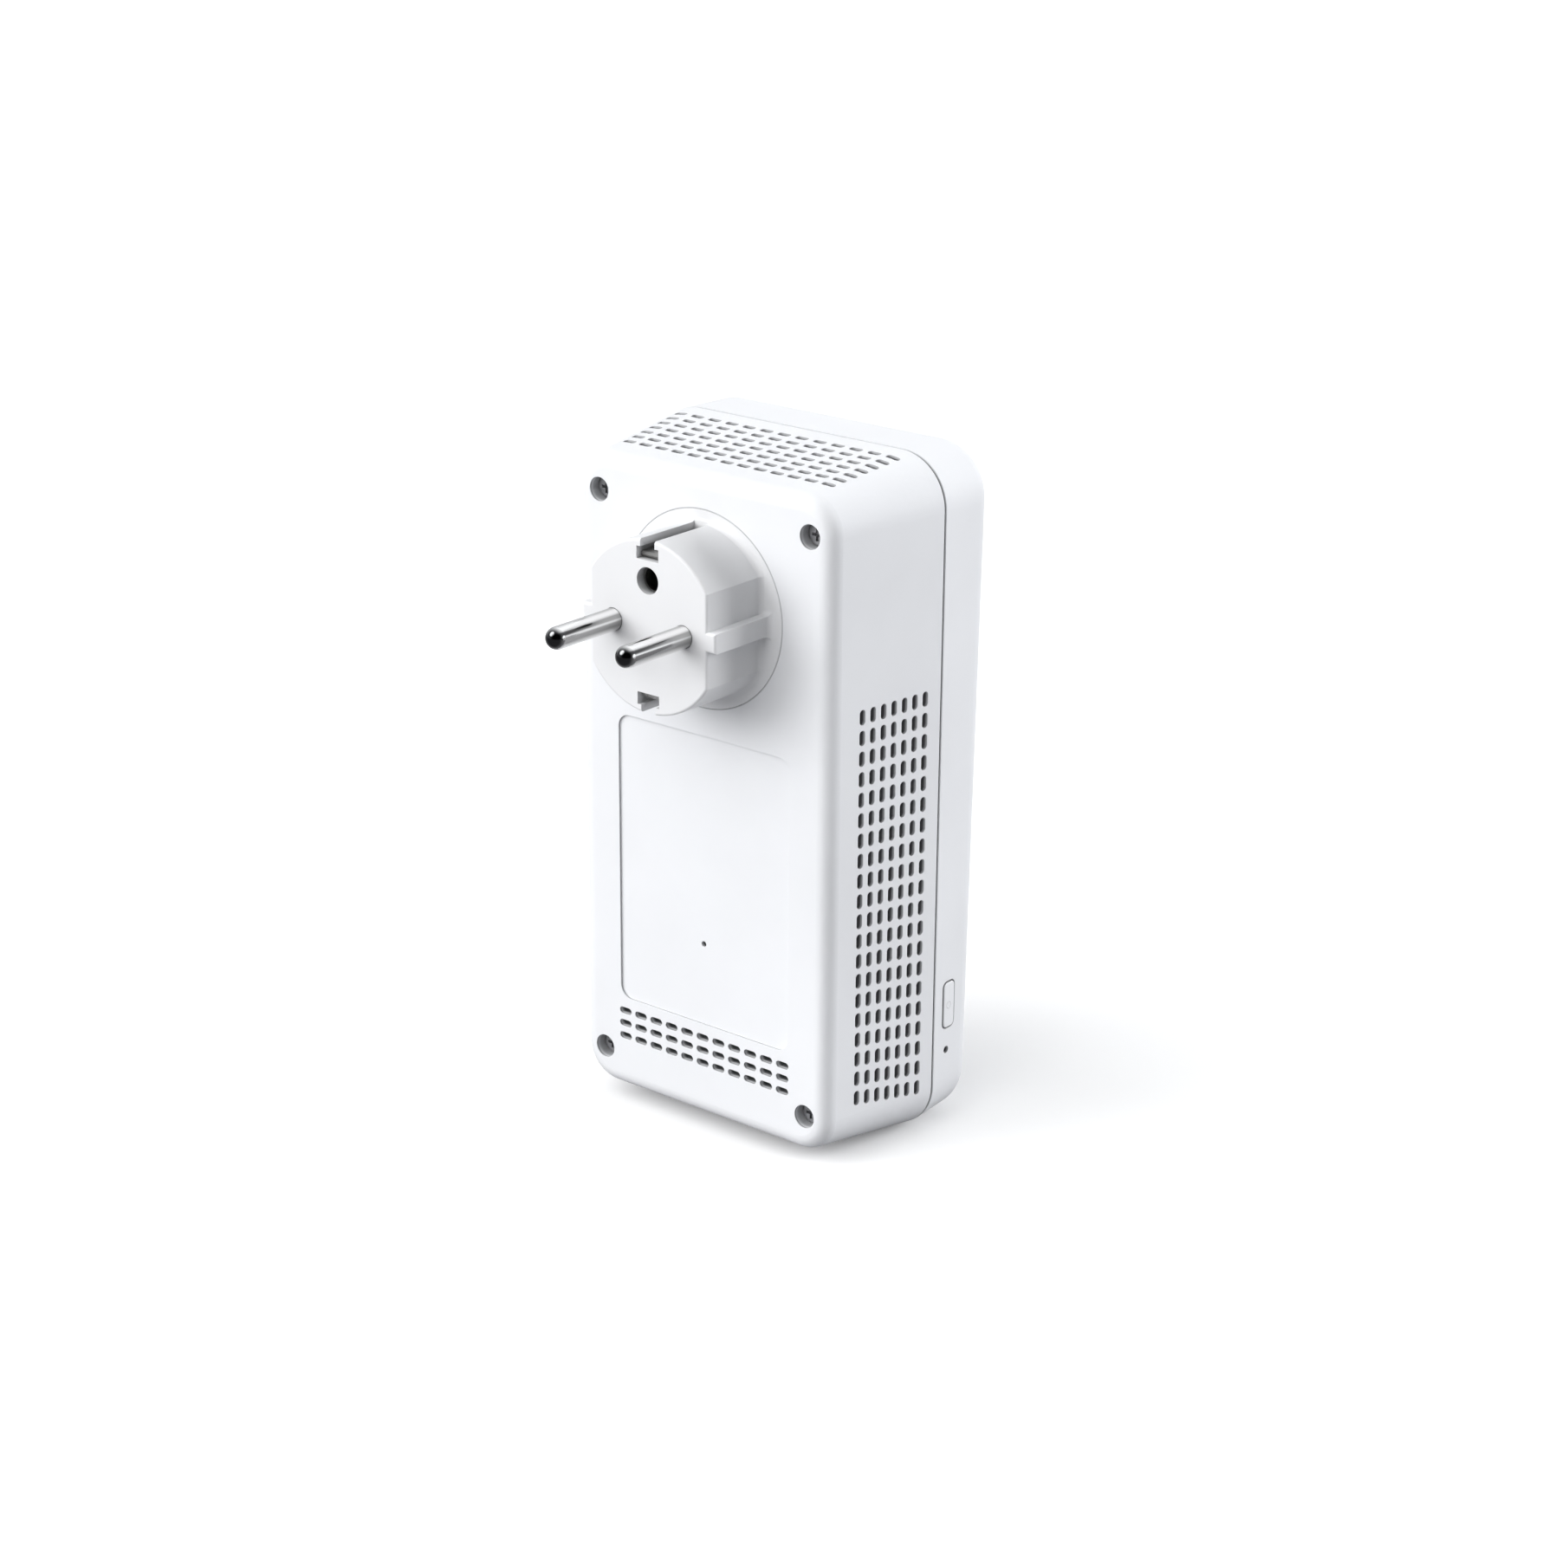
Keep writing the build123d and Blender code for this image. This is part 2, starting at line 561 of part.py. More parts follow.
write_piece("power_board", power_board())
write_piece("mains_fuse", mains_fuse())
write_piece("varistor", rod_x(5.0, POWER_FRONT - 5.0, 9.0, 8.0, 12.0))
write_piece("choke_core", choke_core())
write_piece("choke_windings", *[choke_winding(x) for x in (-7.0, 7.0)])
write_piece(
    "bulk_capacitors",
    *rods_y(5.0, [(-6.0, -43.5), (6.0, -43.5)], POWER_FRONT, POWER_FRONT - 15.5),
)
write_piece("transformer_core", transformer_core())
write_piece("transformer_bobbin", transformer_bobbin())
write_piece("output_capacitor", rod_y(4.0, 14.5, -78.0, POWER_FRONT, POWER_FRONT - 12.0))
write_piece("board_connector", board_connector())
write_piece("insulation_sheet", insulation_sheet())

# ----------------------------------------------------------------- main board
SINK_X, SINK_Z = 17, (-52, -16)
FINS, FIN_PITCH, FIN_T = 11, 3.3, 1.0
JACK_XS = (-16.2, 0.0, 16.2)
JACK_BOTTOM, JACK_TOP = -118.2, -100.4
CONTACTS, CONTACT_PITCH, CONTACT_X = 8, 1.02, -3.57
# y, z above the jack's bottom
CONTACT_OUTLINE = [
    (-45.55, 3.0), (-45.1, 3.0), (-43.4, 10.5),
    (-43.4, 12.45), (-43.8, 12.45), (-43.8, 10.5),
]
GUIDE_REAR, GUIDE_FRONT = -53.0, -54.6
GUIDE_Z = (LENS_Z - 1.6, LENS_Z + 1.6)


def main_board():
    y0, y1 = MAIN_REAR + 1, MAIN_FRONT - 1
    board = block(-33.0, 33.0, MAIN_REAR, MAIN_FRONT, -114.5, 26.5)
    board = board - rods_y(3.7, CASE_SCREWS, y0, y1)
    board = board - rods_y(1.2, MAIN_POSTS, y0, y1)
    # corner notches
    return board - [
        block(s * 30.5, s * 35, y0, y1, z0, z1)
        for s in SIDES
        for z0, z1 in ((18.5, 28), (-116, -105.5))
    ]


def heat_sink():
    base = block(-SINK_X, SINK_X, MAIN_FRONT - 2.0, MAIN_FRONT - 4.0, *SINK_Z)
    fin_xs = [-SINK_X + FIN_PITCH * k for k in range(FINS)]
    return base + [
        block(x, x + FIN_T, MAIN_FRONT - 3.9, MAIN_FRONT - 8.0, *SINK_Z) for x in fin_xs
    ]


def rf_shield():
    can = mounted(MAIN_FRONT, 11, 27, 2.6, -12, 4)
    return can - block(11.3, 26.7, MAIN_FRONT + 0.1, MAIN_FRONT - 2.3, -11.7, 3.7)


def ethernet_jack(x):
    """Socket open at the bottom, with a stepped keyway towards the rear."""
    below = JACK_BOTTOM - 1
    return block(x - 7.95, x + 7.95, -34.7, MAIN_REAR, JACK_BOTTOM, JACK_TOP) - [
        block(x - 5.9, x + 5.9, -38.3, -45.6, below, JACK_BOTTOM + 12.5),
        block(x - 3.2, x + 3.2, -36.7, -38.5, below, JACK_BOTTOM + 12.5),
        block(x - 1.7, x + 1.7, -35.6, -36.9, below, JACK_BOTTOM + 8.0),
    ]


def jack_contacts(x):
    outline = [(y, JACK_BOTTOM + z) for y, z in CONTACT_OUTLINE]
    return [
        Pos(x + CONTACT_X + CONTACT_PITCH * k, 0, 0) * profile_yz(outline, 0.2)
        for k in range(CONTACTS)
    ]


def light_guide():
    """Crossbar with a rod to each window and a leg at each end."""
    guide = block(-13.6, 13.6, GUIDE_REAR, GUIDE_FRONT, *GUIDE_Z)
    for x, z in LENS_PLACES:
        guide = guide + rod_y(1.15, x, z, -51.0, front_y(z) - 0.15)
    return guide + [
        block(s * 13.0, s * 15.0, MAIN_FRONT - 0.05, GUIDE_FRONT, *GUIDE_Z) for s in SIDES
    ]


def antenna_cable(s, z):
    path = Spline([(s * 28.5, -50.3, z), (s * 31.0, -52.0, z), (s * 33.5, -54.5, z + 1)])
    return sweep(Plane(origin=path @ 0, z_dir=path % 0) * Circle(0.55), path=path)


write_piece("main_board", main_board())
write_piece("heat_sink", heat_sink())
write_piece("rf_shield", rf_shield())
write_piece("ethernet_jacks", *[ethernet_jack(x) for x in JACK_XS])
write_piece("jack_contacts", *[wire for x in JACK_XS for wire in jack_contacts(x)])
write_piece(
    "network_transformers",
    *[mounted(MAIN_FRONT, x - 6.0, x + 6.0, 3.6, -109.0, -101.5) for x in JACK_XS],
)
write_piece(
    "status_leds",
    *[mounted(MAIN_FRONT, x - 0.8, x + 0.8, 0.8, z - 0.4, z + 0.4) for x, z in LENS_PLACES],
)
write_piece("light_guide", light_guide())
write_piece(
    "antennas", *[block(s * 34.2, s * 35.0, -51.8, -58.0, -24.0, 12.0) for s in SIDES]
)
write_piece("antenna_cables", antenna_cable(-1, -14.0), antenna_cable(1, -5.0))

# ------------------------------------------------- buttons, switches, plungers
PLUNGER_R, RESET_PLUNGER_R = 1.7, 1.4
PLUNGER_GAP = 0.05


def led_button():
    """Side button: cap proud of the casing, flange inside the wall, square stem."""
    y, z = SIDE_BTN
    cap = side_button_prism(-46, 10.0) & hull(-50.0, -60.0, -0.25)
    cap = fillet_or_keep(cap, [e for e in cap.edges() if e.center().X < -39.0], 0.35)
    cap = cap + block(-36.7, -35.75, y + 1.75, y - 1.75, z - 7.0, z + 7.0)
    return cap + block(-35.9, -33.52, y + 0.9, y - 0.9, z - 0.9, z + 0.9)


def side_switch(place, plunger_r, y_front, z0, z1):
    body = block(-32.0, -28.4, MAIN_FRONT, y_front, z0, z1)
    return body - rod_x(plunger_r + PLUNGER_GAP, *place, -33, -30.0)


def front_switch(x, z):
    body = block(x - 3.0, x + 3.0, MAIN_FRONT, -53.0, z - 3.0, z + 3.0)
    return body - rod_y(PLUNGER_R + PLUNGER_GAP, x, z, -51.2, -54)


def front_button(x, z):
    """Round cap following the front face, with a flange and a stem behind it."""
    cap = rod_y(FRONT_BTN_R, x, z, -60.6, front_y(z) - 1.2)
    cap = cap & (hull(-50.0, -69.0, -1.0) - front_cut(-0.3))
    cap = fillet_or_keep(cap, cap.faces().sort_by(Axis.Y)[0].edges(), 0.4)
    cap = cap + rod_y(FRONT_BTN_R + 1.0, x, z, -60.0, -60.8)
    return cap + rod_y(1.5, x, z, -54.42, -60.2)


write_piece("led_button", led_button())
write_piece("led_plunger", rod_x(PLUNGER_R, *SIDE_BTN, -33.5, -30.6))
write_piece("reset_plunger", rod_x(RESET_PLUNGER_R, *RESET, -33.7, -30.6))
for name, place in FRONT_BTNS.items():
    write_piece(name + "_button", front_button(*place))
    write_piece(name + "_plunger", rod_y(PLUNGER_R, *place, -51.8, -54.4))
write_piece(
    "switch_bodies",
    side_switch(SIDE_BTN, PLUNGER_R, -56.9, SIDE_BTN[1] - 3.0, SIDE_BTN[1] + 3.0),
    side_switch(RESET, RESET_PLUNGER_R, -56.4, -104.3, -99.4),
    *[front_switch(*place) for place in FRONT_BTNS.values()],
)
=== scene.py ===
"""A white plug-in powerline adapter with Wi-Fi, standing on a pale floor.

X runs across the adapter, Z is up, and the pins point towards +Y, the rear.
The origin is the centre of the plug's end face. The front cover faces -Y.
Node coordinates are in metres; the shading functions below work in millimetres.
"""
import math

import bpy
from mathutils import Matrix, Vector


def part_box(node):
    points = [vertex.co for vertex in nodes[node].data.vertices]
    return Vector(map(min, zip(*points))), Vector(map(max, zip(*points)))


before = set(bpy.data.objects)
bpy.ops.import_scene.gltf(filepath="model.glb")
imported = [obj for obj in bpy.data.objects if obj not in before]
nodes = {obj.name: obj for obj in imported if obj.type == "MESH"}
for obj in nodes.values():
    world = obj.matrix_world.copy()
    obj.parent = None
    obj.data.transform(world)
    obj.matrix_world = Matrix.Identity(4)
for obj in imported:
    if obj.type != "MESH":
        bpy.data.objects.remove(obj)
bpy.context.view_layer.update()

MM = 0.001  # one millimetre in metres
PER_MM = 1000.0  # one per millimetre, as a count per metre
MIDDLE = (0.3, 0.7)  # the span of noise values that holds most of the variation


def scaled(colour, factor):
    return tuple(channel * factor for channel in colour)


# ------------------------------------------------------------ node helpers
class Shader:
    """Adds nodes to a node tree. Node inputs take either sockets or plain values."""

    def __init__(self, tree):
        self.nodes = tree.nodes
        self.links = tree.links

    def feed(self, node, inputs):
        for key, value in inputs.items():
            if isinstance(value, bpy.types.NodeSocket):
                self.links.new(value, node.inputs[key])
            else:
                node.inputs[key].default_value = value

    def node(self, kind, inputs=None, **settings):
        node = self.nodes.new(kind)
        for key, value in settings.items():
            setattr(node, key, value)
        self.feed(node, inputs or {})
        return node

    def calc(self, operation, *values):
        inputs = dict(enumerate(values))
        return self.node("ShaderNodeMath", inputs, operation=operation).outputs[0]

    def add(self, a, b):
        return self.calc("ADD", a, b)

    def sub(self, a, b):
        return self.calc("SUBTRACT", a, b)

    def mul(self, a, b):
        return self.calc("MULTIPLY", a, b)

    def min(self, a, b):
        return self.calc("MINIMUM", a, b)

    def max(self, a, b):
        return self.calc("MAXIMUM", a, b)

    def abs(self, a):
        return self.calc("ABSOLUTE", a)

    def length(self, a, b):
        return self.calc("SQRT", self.add(self.mul(a, a), self.mul(b, b)))

    def dot(self, vector, direction):
        inputs = {0: vector, 1: direction}
        node = self.node("ShaderNodeVectorMath", inputs, operation="DOT_PRODUCT")
        return node.outputs["Value"]

    def remap(self, value, span, to=(0.0, 1.0), kind="LINEAR"):
        """Carry the span of values over to another, clamped at both ends."""
        inputs = {"From Min": span[0], "From Max": span[1], "To Min": to[0], "To Max": to[1]}
        inputs["Value"] = value
        return self.node("ShaderNodeMapRange", inputs, interpolation_type=kind).outputs["Result"]

    def ease(self, value, span, to=(0.0, 1.0)):
        """The same with a smooth start and end."""
        return self.remap(value, span, to, "SMOOTHSTEP")

    def light_path(self, output):
        return self.node("ShaderNodeLightPath").outputs[output]


class Material(Shader):
    """A material around one Principled shader, with bumps over bevelled edges."""

    def __init__(self, name, bevel_mm=0.0):
        self.data = bpy.data.materials.new(name)
        self.data.use_nodes = True
        super().__init__(self.data.node_tree)
        self.principled = self.nodes["Principled BSDF"]
        self.coords = self.node("ShaderNodeTexCoord").outputs["Object"]
        self.normal = None
        self.bevel_mm = bevel_mm

    def set(self, inputs):
        self.feed(self.principled, inputs)

    def noise(self, per_mm, detail=2.0, rough=0.5, stretch=None):
        """Noise whose features are about 1 / per_mm millimetres across."""
        vector = self.coords
        if stretch:
            inputs = {"Scale": stretch, "Vector": vector}
            vector = self.node("ShaderNodeMapping", inputs).outputs["Vector"]
        inputs = {"Scale": per_mm * PER_MM, "Detail": detail, "Roughness": rough,
                  "Vector": vector}
        return self.node("ShaderNodeTexNoise", inputs).outputs["Fac"]

    def voronoi(self, per_mm, metric="EUCLIDEAN", randomness=1.0):
        inputs = {"Scale": per_mm * PER_MM, "Randomness": randomness, "Vector": self.coords}
        return self.node("ShaderNodeTexVoronoi", inputs, distance=metric).outputs["Distance"]

    def wave(self, radians_per_mm, axis, distortion=0.0):
        # the node itself turns 20 radians per unit of scale
        inputs = {"Scale": radians_per_mm * PER_MM / 20.0, "Distortion": distortion,
                  "Vector": self.coords}
        return self.node("ShaderNodeTexWave", inputs, bands_direction=axis).outputs["Fac"]

    def mix(self, factor, first, second):
        """Blend two colours, each an RGB tuple or a socket."""
        inputs = {0: factor}
        for slot, colour in ((6, first), (7, second)):
            inputs[slot] = (*colour, 1.0) if isinstance(colour, tuple) else colour
        return self.node("ShaderNodeMix", inputs, data_type="RGBA").outputs[2]

    def mottle(self, cloud, first, second):
        return self.mix(self.remap(cloud, MIDDLE), first, second)

    def bump(self, height, depth_mm, strength=1.0):
        """Add a bump on top of the earlier ones."""
        if self.normal is None:
            bevel = self.node("ShaderNodeBevel", {"Radius": self.bevel_mm * MM}, samples=4)
            self.normal = bevel.outputs["Normal"]
        inputs = {"Strength": strength, "Distance": depth_mm * MM, "Height": height,
                  "Normal": self.normal}
        self.normal = self.node("ShaderNodeBump", inputs).outputs["Normal"]
        self.set({"Normal": self.normal})

    def separate(self, vector):
        return self.node("ShaderNodeSeparateXYZ", {0: vector}).outputs

    def position_mm(self, axes="XYZ"):
        parts = self.separate(self.coords)
        return [self.mul(parts[axis], PER_MM) for axis in axes]


# --------------------------------------------- depth shading of white parts
# Drafted sizes are (millimetres where the draft starts, change per millimetre towards -Y).
SHELL_REAR_Y = -17.15
SHELL = dict(radius=(8.0, 0.11), half_width=(34.35, 0.1517), top=(29.0, 0.123),
             bottom=(-116.2, -0.136))
SHELL_EDGE_RADIUS = 3.6
SCREW_X = 28.6
SCREW_MID_Z = -43.57
SCREW_HALF_PITCH_Z = 64.43

COVER_REAR_Y = -49.1
COVER = dict(radius=(11.51, 0.03), half_width=(39.197, -0.012), top=(32.93, -0.018),
             bottom=(-120.545, 0.05))
COVER_EDGE_RADIUS = 4.5
COVER_FACE_Y = -65.2  # at the height of the plug's axis
COVER_FACE_TILT = math.radians(1.17)

# the button's opening and the pinhole in the cover's -X side
BUTTON_Y, BUTTON_Z = -54.1, -91.1
OPENING_HALF_Y, OPENING_HALF_Z = 2.17, 5.57
OPENING_CORNER = 1.42
PINHOLE_Y, PINHOLE_Z = -53.6, -101.8
BUTTON_RING_RADIUS = 0.75

PLUG_RADIUS = 18.75
PLUG_HALF_WIDTH = 15.8  # over the flats


def drafted(m, past, start, slope):
    return m.add(m.mul(past, slope), start)


def corner_parts(m, a, b):
    """Outer and inner parts of the distance to a corner, from offsets a and b past its faces."""
    outer = m.length(m.max(a, 0.0), m.max(b, 0.0))
    inner = m.min(m.max(a, b), 0.0)
    return outer, inner


def rounded(m, a, b, radius):
    """Depth below two faces meeting in a round edge, from the depths below each face."""
    outer, inner = corner_parts(m, m.sub(radius, a), m.sub(radius, b))
    return m.sub(m.sub(radius, outer), inner)


def side_depth(m, x, z, past, radius, half_width, top, bottom):
    """Depth below the four drafted side walls and their round corners."""
    corner = drafted(m, past, *radius)
    below_side = m.sub(drafted(m, past, *half_width), m.abs(x))
    below_top = m.sub(drafted(m, past, *top), z)
    above_bottom = m.sub(z, drafted(m, past, *bottom))
    return rounded(m, below_side, m.min(below_top, above_bottom), corner)


def shade_rear(m):
    """Painted shade: 0 on the rear shell's outside and in the shallow recess, 1 deep in the casing.
    """
    x, y, z = m.position_mm()
    past = m.sub(SHELL_REAR_Y, y)
    around = side_depth(m, x, z, past, **SHELL)
    deep = rounded(m, around, past, SHELL_EDGE_RADIUS)
    # painted shade: a half-dark band on the walls just under the skin
    wall = m.mul(m.ease(deep, span=(0.06, 0.16), to=(0.0, 0.5)),
                 m.ease(deep, span=(0.43, 0.48), to=(1.0, 0.0)))
    inside = m.mul(m.ease(around, span=(0.05, 0.8)), m.ease(past, span=(0.55, 1.5)))
    inside = m.mul(inside, m.ease(deep, span=(0.03, 0.3)))
    # the four screw counterbores are open and shallow, so they get less painted shade and stay
    # paler
    screw_x = m.sub(m.abs(x), SCREW_X)
    screw_z = m.sub(m.abs(m.add(z, -SCREW_MID_Z)), SCREW_HALF_PITCH_Z)
    from_screw = m.length(screw_x, screw_z)
    inside = m.mul(inside, m.remap(from_screw, span=(2.8, 3.2), to=(0.5, 1.0)))
    # a painted shadow line in the narrow gap round the plug's flange ring
    from_axis = m.length(x, z)
    ring = m.mul(m.ease(from_axis, span=(21.66, 21.86), to=(0.42, 0.0)),
                 m.remap(past, span=(0.0, 0.3), to=(1.0, 0.0)))
    return m.max(m.max(inside, wall), ring)


def cover_depth(m, x, y, z):
    """Depth in millimetres below the outside of the front cover."""
    around = side_depth(m, x, z, m.sub(COVER_REAR_Y, y), **COVER)
    face = m.sub(COVER_FACE_Y, m.mul(z, math.tan(COVER_FACE_TILT)))
    return rounded(m, around, m.sub(y, face), COVER_EDGE_RADIUS)


def shade_front(m):
    """Painted shade: 0 on the outside of the front cover, 1 in the casing, with painted dark rims
    on its -X side.
    """
    x, y, z = m.position_mm()
    inside = m.ease(cover_depth(m, x, y, z), span=(0.06, 0.7))
    # painted shade rims round the side button's opening and the pinhole, for the shadowed gaps
    # there
    over_y = m.sub(m.abs(m.add(y, -BUTTON_Y)), OPENING_HALF_Y - OPENING_CORNER)
    over_z = m.sub(m.abs(m.add(z, -BUTTON_Z)), OPENING_HALF_Z - OPENING_CORNER)
    from_opening = m.sub(m.add(*corner_parts(m, over_y, over_z)), OPENING_CORNER)
    from_pinhole = m.length(m.add(y, -PINHOLE_Y), m.add(z, -PINHOLE_Z))
    rim = m.max(m.ease(from_opening, span=(0.03, 0.2), to=(0.6, 0.0)),
                m.ease(from_pinhole, span=(0.76, 0.95), to=(0.7, 0.0)))
    rim = m.mul(rim, m.remap(x, span=(-38.9, -38.6), to=(1.0, 0.0)))
    return m.max(inside, rim)


def shade_button(m):
    """Painted shade on the buttons' flanks. The buttons stand a little proud, so their flanks start
    just above the cover's outside.
    """
    return m.ease(cover_depth(m, *m.position_mm()), span=(-0.21, 0.12))


def shade_plug(m):
    """Painted shade: 0 on the plug's round side, flats and end face, 1 well inside."""
    x, y, z = m.position_mm()
    below_round = m.sub(PLUG_RADIUS, m.length(x, z))
    below_flat = m.sub(PLUG_HALF_WIDTH, m.abs(x))
    below_end = m.mul(y, -1.0)
    return m.ease(m.min(m.min(below_round, below_flat), below_end), span=(0.15, 2.6))


# ---------------------------------------------------------------- materials
def raised_ring(m):
    """A plain raised ring in the middle of the side button's cap."""
    y, z = m.position_mm("YZ")
    from_centre = m.length(m.sub(y, BUTTON_Y), m.sub(z, BUTTON_Z))
    off = m.abs(m.sub(from_centre, BUTTON_RING_RADIUS))
    m.bump(m.ease(off, span=(0.1, 0.2), to=(1.0, 0.0)), depth_mm=0.12)


def white_plastic(name, base, rough, shade, grain_mm=0.22, grain_depth=0.006, bevel_mm=0.15,
                  specular=0.4, deep=0.2, ring=False):
    """Moulded white plastic: fine spark-eroded grain, faint flow mottling, slight sheen changes,
    and painted shade that darkens it with depth.
    """
    m = Material(name, bevel_mm)
    flow = m.noise(per_mm=0.035, detail=3.0, rough=0.55)
    ripple = m.noise(per_mm=0.4)
    grain = m.noise(per_mm=1.0 / grain_mm, rough=0.6)
    skin = m.mottle(flow, scaled(base, 0.965), base)
    # painted shade: openings and insides get darker with depth, standing in for the shade that
    # falls there
    m.set({
        "Base Color": m.mix(shade(m), skin, scaled(base, deep)),
        "Roughness": m.add(
            m.remap(flow, span=(0.25, 0.75), to=(rough - 0.03, rough + 0.04)),
            m.remap(grain, span=(0.2, 0.8), to=(-0.02, 0.03))),
        "Specular IOR Level": specular,
        "Subsurface Weight": 0.06,
        "Subsurface Radius": (1.0, 0.95, 0.9),
        "Subsurface Scale": 0.0012,
    })
    m.bump(ripple, depth_mm=0.012, strength=0.5)
    m.bump(grain, grain_depth, strength=0.9)
    if ring:
        raised_ring(m)
    return m.data


# Painted reflection: brightness mirrored round the pin, painted into its colour: (turn from 0 to 1,
# grey level).
PAINTED_PIN_REFLECTION = [
    (0.0, 0.62), (0.097, 0.36), (0.194, 0.42), (0.264, 0.50), (0.306, 0.36), (0.353, 0.15),
    (0.389, 0.24), (0.439, 0.80), (0.486, 1.0), (0.556, 1.0), (0.611, 0.80), (0.669, 0.48),
    (0.778, 0.40), (0.84, 0.55), (0.917, 0.78), (1.0, 0.62),
]
# Painted highlights on the tip, at the two suns' mirrored directions: (reflected direction, span of
# its dot product from rim to full).
PAINTED_TIP_HIGHLIGHTS = [
    ((0.373, 0.643, 0.676), (0.90, 0.97)),
    ((-0.874, -0.487, 0.071), (0.93, 0.98)),
]


def paint_pin_reflection(m, turn):
    node = m.node("ShaderNodeValToRGB", {"Fac": turn})
    elements = node.color_ramp.elements
    while len(elements) < len(PAINTED_PIN_REFLECTION):
        elements.new(0.5)
    for element, (position, level) in zip(elements, PAINTED_PIN_REFLECTION):
        element.position = position
        element.color = (level, level * 0.995, level * 0.99, 1.0)
    return node.outputs["Color"]


def plated_pin(name):
    """Polished nickel plate with faint turning lines and rub marks along the shaft; its colour
    holds a painted reflection of a striped studio: bright panel, dark gap, grey sides, and painted
    highlights on the tip."""
    m = Material(name, bevel_mm=0.1)
    rings = m.noise(per_mm=6.0, rough=0.6, stretch=(0.05, 1.0, 0.05))
    rub = m.noise(per_mm=1.6, detail=3.0, rough=0.6, stretch=(2.2, 0.06, 2.2))
    cloud = m.noise(per_mm=0.25, detail=3.0)
    reflection = m.node("ShaderNodeTexCoord").outputs["Reflection"]
    x, y, z = m.separate(reflection)
    turn = m.remap(m.calc("ARCTAN2", x, z), span=(-math.pi, math.pi))
    shaft = paint_pin_reflection(m, turn)
    # the painted dark gap of the reflection is deepest towards the tip, where less of the white
    # casing is mirrored
    gap = m.mul(m.ease(turn, span=(0.27, 0.34)), m.ease(turn, span=(0.37, 0.43), to=(1.0, 0.0)))
    outward = m.ease(m.separate(m.coords)["Y"], span=(0.004, 0.017), to=(-0.55, 0.8))
    shaft = m.mix(m.mul(gap, m.max(outward, 0.0)), shaft, (0.05, 0.05, 0.052))
    inward = m.mul(outward, -1.0)
    shaft = m.mix(m.mul(gap, m.max(inward, 0.0)), shaft, (0.62, 0.62, 0.61))
    # painted reflection: the rounded tip shows the dark studio behind the camera, with painted
    # highlights at the two suns' directions
    painted_highlights = m.max(*[m.ease(m.dot(reflection, Vector(direction).normalized()), span)
                    for direction, span in PAINTED_TIP_HIGHLIGHTS])
    painted_room_reflection = m.mix(m.ease(y, span=(-0.82, 0.42)), shaft, (0.035, 0.035, 0.037))
    m.set({
        "Metallic": 1.0,
        "Base Color": m.mix(painted_highlights, painted_room_reflection, (1.0, 1.0, 1.0)),
        "Roughness": m.add(m.remap(cloud, MIDDLE, to=(0.10, 0.15)),
                           m.remap(rub, span=(0.55, 0.75), to=(0.0, 0.08))),
    })
    m.bump(rings, depth_mm=0.002, strength=0.4)
    m.bump(rub, depth_mm=0.001, strength=0.4)
    return m.data


def steel(name, colour, rough, stretch=(1, 12, 1)):
    """Stamped or turned metal with brushed lines and a dull plate bloom."""
    m = Material(name, bevel_mm=0.08)
    lines = m.noise(per_mm=1.2, detail=3.0, rough=0.6, stretch=stretch)
    bloom = m.noise(per_mm=0.5, detail=3.0)
    m.set({
        "Metallic": 1.0,
        "Base Color": m.mottle(bloom, scaled(colour, 0.72), colour),
        "Roughness": m.add(m.remap(lines, MIDDLE, to=(rough - 0.06, rough + 0.08)),
                           m.remap(bloom, MIDDLE, to=(0.0, 0.08))),
    })
    m.bump(lines, depth_mm=0.004, strength=0.6)
    return m.data


def board(name, colour):
    """Solder-masked laminate: tracks under the mask, tinned pads and vias, faint glass weave."""
    m = Material(name, bevel_mm=0.08)
    cells = m.voronoi(per_mm=0.42, metric="MANHATTAN", randomness=0.9)
    weave = m.mul(m.wave(radians_per_mm=2.2, axis="X"), m.wave(radians_per_mm=2.2, axis="Z"))
    # each cell holds nested tracks
    tracks = m.remap(m.calc("FRACT", m.mul(cells, 6.0)), span=(0.42, 0.5))
    lit = tuple(channel * 2.1 + 0.02 for channel in colour)
    mask = m.mix(tracks, colour, lit)
    pads = m.remap(m.voronoi(per_mm=0.16), span=(0.09, 0.075))
    m.set({
        "Base Color": m.mix(pads, mask, (0.62, 0.62, 0.6)),
        "Metallic": pads,
        "Roughness": m.remap(tracks, span=(0.0, 1.0), to=(0.32, 0.26)),
    })
    m.bump(tracks, depth_mm=0.03, strength=0.7)
    m.bump(weave, depth_mm=0.004, strength=0.4)
    return m.data


def moulded(name, colour, rough=0.5, specular=0.4, grain_mm=0.18, grain_depth=0.008):
    """Coloured plastic, resin or ceramic with a fine grain."""
    m = Material(name, bevel_mm=0.08)
    cloud = m.noise(per_mm=0.12, detail=3.0, rough=0.55)
    grain = m.noise(per_mm=1.0 / grain_mm, rough=0.6)
    m.set({
        "Base Color": m.mottle(cloud, scaled(colour, 0.82), colour),
        "Roughness": m.add(m.remap(cloud, MIDDLE, to=(rough - 0.05, rough + 0.05)),
                           m.remap(grain, MIDDLE, to=(-0.03, 0.03))),
        "Specular IOR Level": specular,
    })
    m.bump(grain, grain_depth, strength=0.8)
    return m.data


